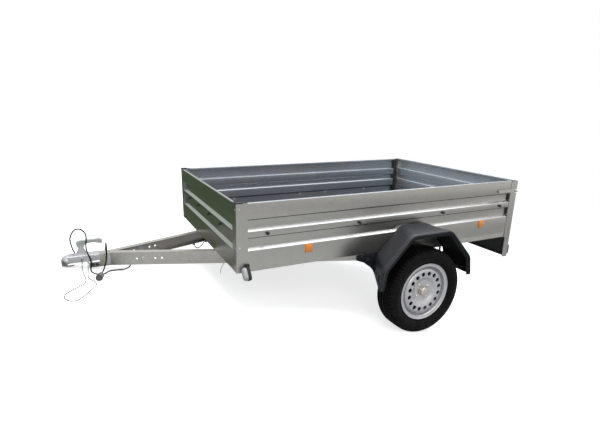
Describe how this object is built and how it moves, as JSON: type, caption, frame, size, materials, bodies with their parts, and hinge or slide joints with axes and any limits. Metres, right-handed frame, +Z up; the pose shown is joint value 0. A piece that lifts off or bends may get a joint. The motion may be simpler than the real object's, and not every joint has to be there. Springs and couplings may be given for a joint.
{
  "type": "utility trailer",
  "caption": "Single-axle box trailer with folded steel walls, a hinged tailgate, a V drawbar with ball coupling and black arched mudguards, parked nose down.",
  "frame": {"origin": "on the ground, under the middle of the trailer's length and width", "axes": "+X forward to the coupling, +Y to the trailer's left, +Z up; the chassis stands nose down by 12.59 degrees about Y"},
  "size_m": [2.9522, 1.76, 1.0733],
  "materials": {
    "black_plastic": "moulded",
    "black_sheet": "matt black",
    "cable_black": "smooth jacket",
    "coupling_zinc": "zinc plated",
    "floor_board": "film-faced plywood",
    "frame_galvanised": "hot-dip galvanised",
    "handle_grey": "satin grey",
    "lamp_clear": "clear lens",
    "lamp_red": "moulded lens",
    "mudguard_plastic": "moulded black plastic, fine grain",
    "plug_grey": "moulded grey",
    "reflector_amber": "prismatic reflector",
    "safety_wire": "wire rope",
    "tyre": "matte black rubber",
    "wall_galvanised": "bright galvanised sheet",
    "wheel_paint": "silver paint, satin",
    "zinc_hub": "zinc plated"
  },
  "bodies": {
    "chassis": {"axle_bracket_left": "frame_galvanised", "axle_bracket_right": "frame_galvanised", "axle_tube": "frame_galvanised", "cable_guides": "black_plastic", "coupling_body": "coupling_zinc", "coupling_handle": "handle_grey", "cross_members": "frame_galvanised", "drawbar_beam_left": "frame_galvanised", "drawbar_beam_right": "frame_galvanised", "electric_cable": "cable_black", "floor_panel": "floor_board", "front_post_left": "wall_galvanised", "front_post_right": "wall_galvanised", "front_wall": "wall_galvanised", "harness_loop": "cable_black", "lamp_board": "black_sheet", "latch_left": "frame_galvanised", "latch_right": "frame_galvanised", "marker_lamp_left": "black_plastic", "marker_lamp_right": "black_plastic", "marker_lenses": "lamp_clear", "mudguard_left": "mudguard_plastic", "mudguard_right": "mudguard_plastic", "mudguard_stays": "mudguard_plastic", "plug": "plug_grey", "rear_post_left": "wall_galvanised", "rear_post_right": "wall_galvanised", "rear_reflectors": "lamp_red", "safety_wire": "safety_wire", "side_rail_left": "frame_galvanised", "side_rail_right": "frame_galvanised", "side_reflectors": "reflector_amber", "side_wall_left": "wall_galvanised", "side_wall_right": "wall_galvanised", "swing_arm_left": "frame_galvanised", "swing_arm_right": "frame_galvanised", "tail_lamp_left": "lamp_red", "tail_lamp_right": "lamp_red", "tarp_knobs": "black_plastic"},
    "tailgate": {"tailgate": "wall_galvanised"},
    "wheel_left": {"tyre_left": "tyre", "rim_left": "wheel_paint", "hub_left": "zinc_hub"},
    "wheel_right": {"tyre_right": "tyre", "rim_right": "wheel_paint", "hub_right": "zinc_hub"}
  },
  "joints": [
    {"name": "wheel_left_spin", "type": "hinge", "parent": "chassis", "child": "wheel_left", "pos_m": [-0.51348, 0.7865, 0.273], "axis": [0, 1, 0], "continuous": true},
    {"name": "wheel_right_spin", "type": "hinge", "parent": "chassis", "child": "wheel_right", "pos_m": [-0.51348, -0.7865, 0.273], "axis": [0, 1, 0], "continuous": true},
    {"name": "tailgate_hinge", "type": "hinge", "parent": "chassis", "child": "tailgate", "pos_m": [-1.38166, 0, 0.72109], "axis": [0, -1, 0], "range_deg": [0, 95]}
  ]
}
